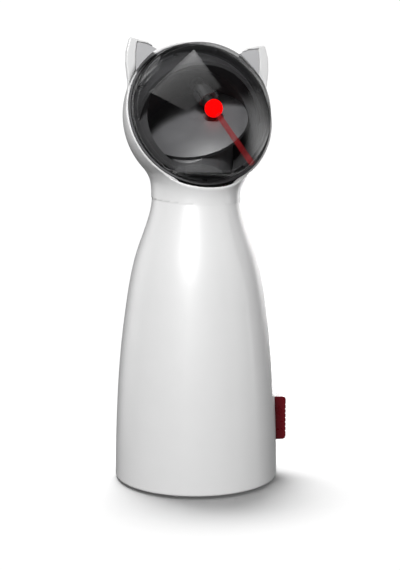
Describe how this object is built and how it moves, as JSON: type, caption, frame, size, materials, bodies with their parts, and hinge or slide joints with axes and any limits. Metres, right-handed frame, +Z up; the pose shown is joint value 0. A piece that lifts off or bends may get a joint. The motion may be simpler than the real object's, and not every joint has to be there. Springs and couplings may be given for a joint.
{
  "type": "cat laser toy",
  "caption": "Automatic cat laser toy: white waisted body with cat ears, smoky dome over a turning slanted turret that aims a red laser at the floor, red slide key at the side.",
  "frame": {"origin": "centre of the foot circle, on the floor under the rubber foot", "axes": "+Z up along the body axis, -Y towards the front where the dome faces, +X towards the side with the slide key"},
  "size_m": [0.0837, 0.079, 0.2095],
  "materials": {
    "white_shell": "satin white moulded plastic",
    "pale_plastic": "light grey moulded plastic",
    "ear_grey": "grey moulded plastic",
    "rubber": "dark rubber",
    "iron": "cast weight",
    "smoky_dome": "clear smoky tinted plastic",
    "black_gloss": "glossy black plastic",
    "black_matte": "satin black plastic",
    "brass": "plain brass",
    "red_lens": "red moulded lens",
    "red_key": "dark red plastic",
    "board": "green circuit board",
    "gear_plastic": "natural nylon",
    "steel": "plain steel",
    "can_blue": "sleeved can",
    "battery_wrap": "blue shrink wrap",
    "light_pipe": "clear light pipe",
    "wire_cover": "red wire cover"
  },
  "bodies": {
    "housing": {"front_shell": "white_shell", "rear_cover": "white_shell", "ear_insert_left": "ear_grey", "ear_insert_right": "ear_grey", "base_plate": "white_shell", "rubber_foot": "rubber", "ballast": "iron", "mask": "black_matte", "mask_screws": "steel", "thrust_washer": "gear_plastic", "turret_screw": "steel", "gear_motor": "steel", "motor_screws": "steel", "inner_frame": "black_matte", "frame_screws": "steel", "brush_block": "gear_plastic", "brushes": "brass", "main_board": "board", "controller": "black_matte", "capacitor": "can_blue", "connectors": "gear_plastic", "board_screws": "steel", "battery": "battery_wrap", "battery_tabs": "steel", "slide_switch": "steel", "switch_board": "board", "switch_screws": "steel", "usb_board": "board", "usb_socket": "steel", "usb_screws": "steel", "charge_light": "light_pipe", "cover_screws": "steel", "base_screws": "steel", "ballast_screws": "steel", "wiring": "wire_cover"},
    "cover": {"dome": "smoky_dome", "bezel_ring": "black_gloss"},
    "turret": {"turret_cup": "black_gloss", "turret_floor": "black_matte", "dish": "black_gloss", "laser_arm": "black_matte", "drive_gear": "gear_plastic", "slip_rings": "brass"},
    "laser": {"laser_barrel": "brass", "laser_sleeve": "black_matte", "laser_lens": "red_lens", "laser_board": "board", "tilt_knob": "pale_plastic"},
    "pinion": {"pinion": "gear_plastic"},
    "key": {"speed_key": "red_key", "switch_lever": "black_matte"},
    "flap": {"usb_flap": "pale_plastic"}
  },
  "joints": [
    {"name": "turret_pan", "type": "hinge", "parent": "housing", "child": "turret", "pos_m": [0, 0, 0.147], "axis": [0, 0, 1], "continuous": true},
    {"name": "pinion_spin", "type": "hinge", "parent": "housing", "child": "pinion", "pos_m": [0, 0.01172, 0.137], "axis": [0, 0, 1], "continuous": true},
    {"name": "laser_tilt", "type": "hinge", "parent": "turret", "child": "laser", "pos_m": [0.00271, -0.00444, 0.18419], "axis": [0.8536, 0.521, 0], "range_deg": [-15, 15]},
    {"name": "key_slide", "type": "slide", "parent": "housing", "child": "key", "axis": [0, 0, 1], "range_m": [-0.0025, 0.0025]},
    {"name": "cover_twist", "type": "hinge", "parent": "housing", "child": "cover", "pos_m": [0, -0.0048, 0.17399], "axis": [0, -0.9659, 0.2588], "range_deg": [0, 12]},
    {"name": "flap_hinge", "type": "hinge", "parent": "housing", "child": "flap", "pos_m": [0, 0.03865, 0.0172], "axis": [-1, 0, 0], "range_deg": [0, 100]}
  ],
  "couplings": [
    {"joint": "pinion_spin", "follows": "turret_pan", "ratio": -2.2222}
  ]
}
